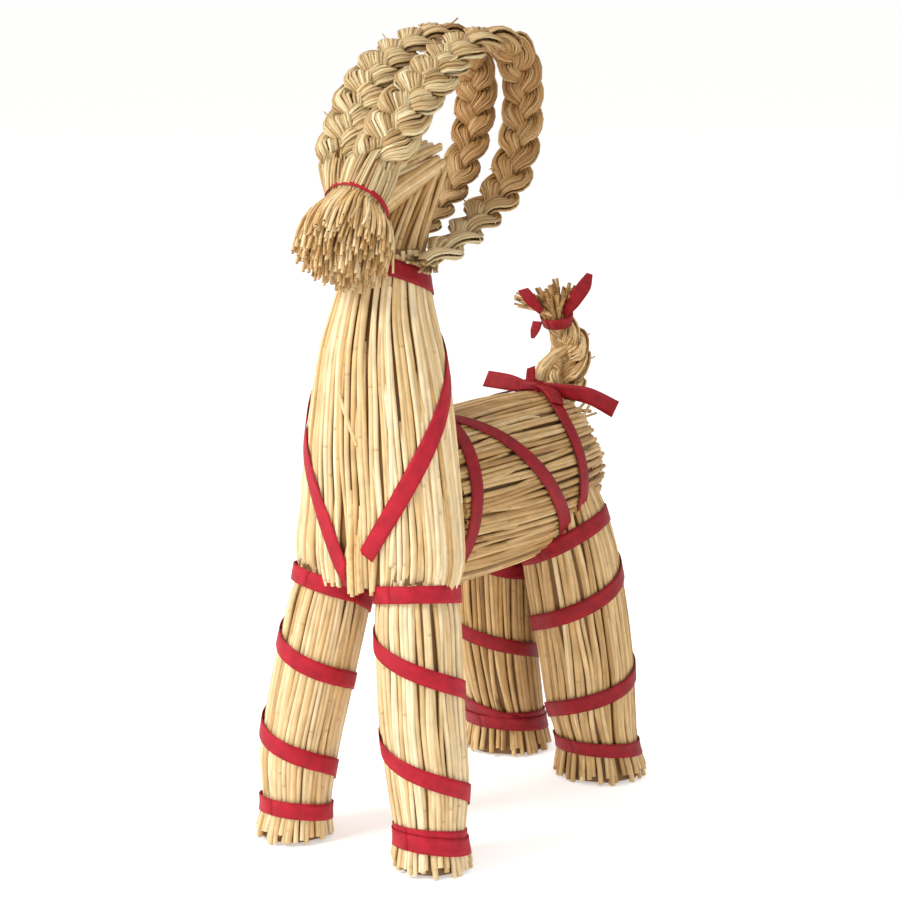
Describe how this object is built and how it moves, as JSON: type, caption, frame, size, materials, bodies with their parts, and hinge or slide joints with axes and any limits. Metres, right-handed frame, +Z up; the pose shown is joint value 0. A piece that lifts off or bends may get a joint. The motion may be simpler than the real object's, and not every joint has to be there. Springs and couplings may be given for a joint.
{
  "type": "straw goat ornament",
  "caption": "Yule goat of bound straw stems with looped plaited horns, a tied muzzle tuft, a plaited tail and wound red ribbons; it stands on its legs.",
  "frame": {"origin": "on the floor under the middle of the outline", "axes": "+Z up, the goat faces -Y, its left side is +X"},
  "size_m": [0.1796, 0.3452, 0.5998],
  "materials": {
    "straw": "dry golden straw stems, lightly glossy",
    "plaited_straw": "flattened straw, plaited, lightly glossy",
    "ribbon": "deep red woven ribbon with a soft sheen"
  },
  "bodies": {
    "root": {"neck_bundle": "straw", "trunk_bundle": "straw", "muzzle_tie": "ribbon", "right_horn": "plaited_straw", "left_horn": "plaited_straw", "tail": "plaited_straw", "tail_tie": "ribbon", "collar": "ribbon", "chest_ribbon": "ribbon", "right_foreleg_ribbon": "ribbon", "left_foreleg_ribbon": "ribbon", "right_hind_ribbon": "ribbon", "left_hind_ribbon": "ribbon", "trunk_ribbon": "ribbon", "rump_ribbon": "ribbon"}
  },
  "joints": []
}
